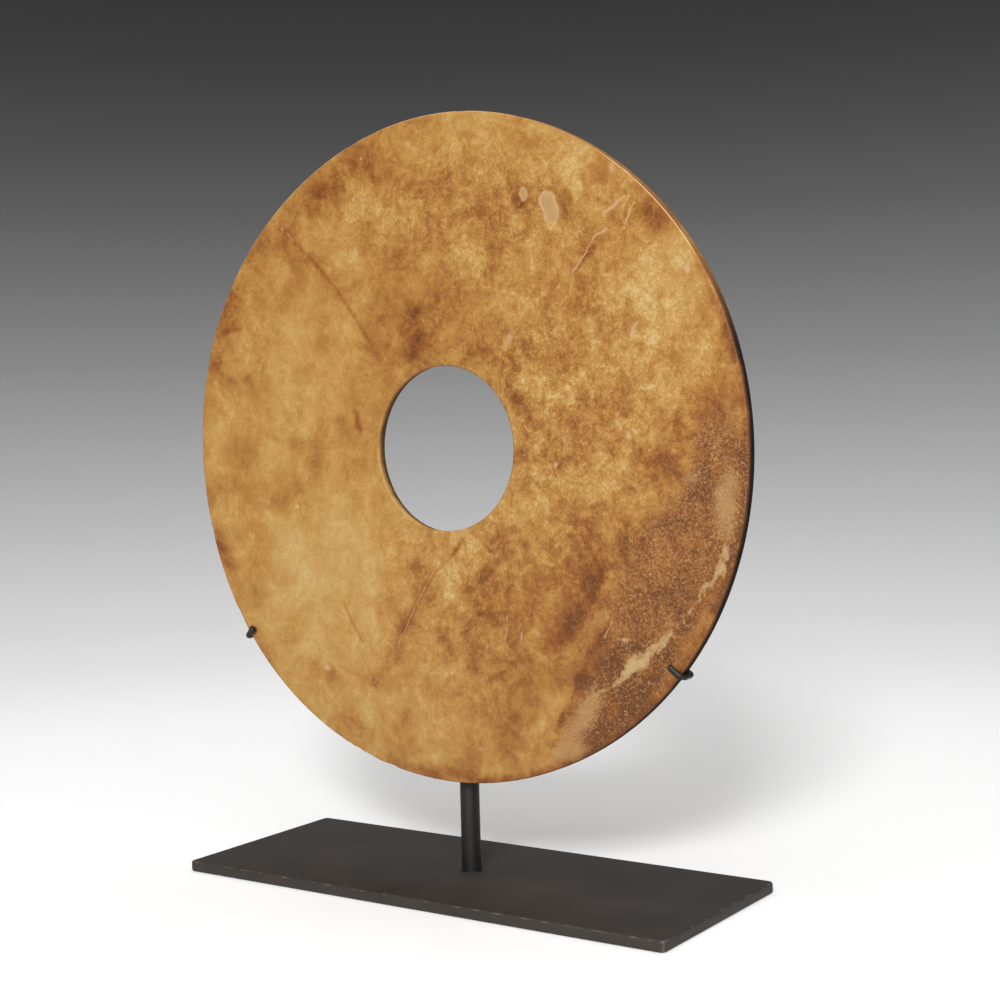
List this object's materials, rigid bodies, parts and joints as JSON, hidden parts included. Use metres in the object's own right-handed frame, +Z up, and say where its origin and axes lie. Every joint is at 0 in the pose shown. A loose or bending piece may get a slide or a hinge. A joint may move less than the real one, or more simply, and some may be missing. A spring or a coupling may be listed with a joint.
{
  "type": "jade bi disc on a display stand",
  "caption": "Flat round stone disc with a round central hole, held upright by hooked wires on a slim post above a flat rectangular steel foot.",
  "frame": {"origin": "middle of the underside of the steel foot", "axes": "+Z up, X along the foot's long side, the disc's front face looks along -Y"},
  "size_m": [0.2957, 0.1, 0.3442],
  "materials": {
    "honey_jade": "satin polish, mottled honey and brown with paler weathered patches",
    "blackened_steel": "blackened and waxed, satin"
  },
  "bodies": {
    "root": {"bi_disc": "honey_jade", "base_plate": "blackened_steel", "post_tube": "blackened_steel", "spine_rod": "blackened_steel", "right_arm": "blackened_steel", "left_arm": "blackened_steel"}
  },
  "joints": []
}
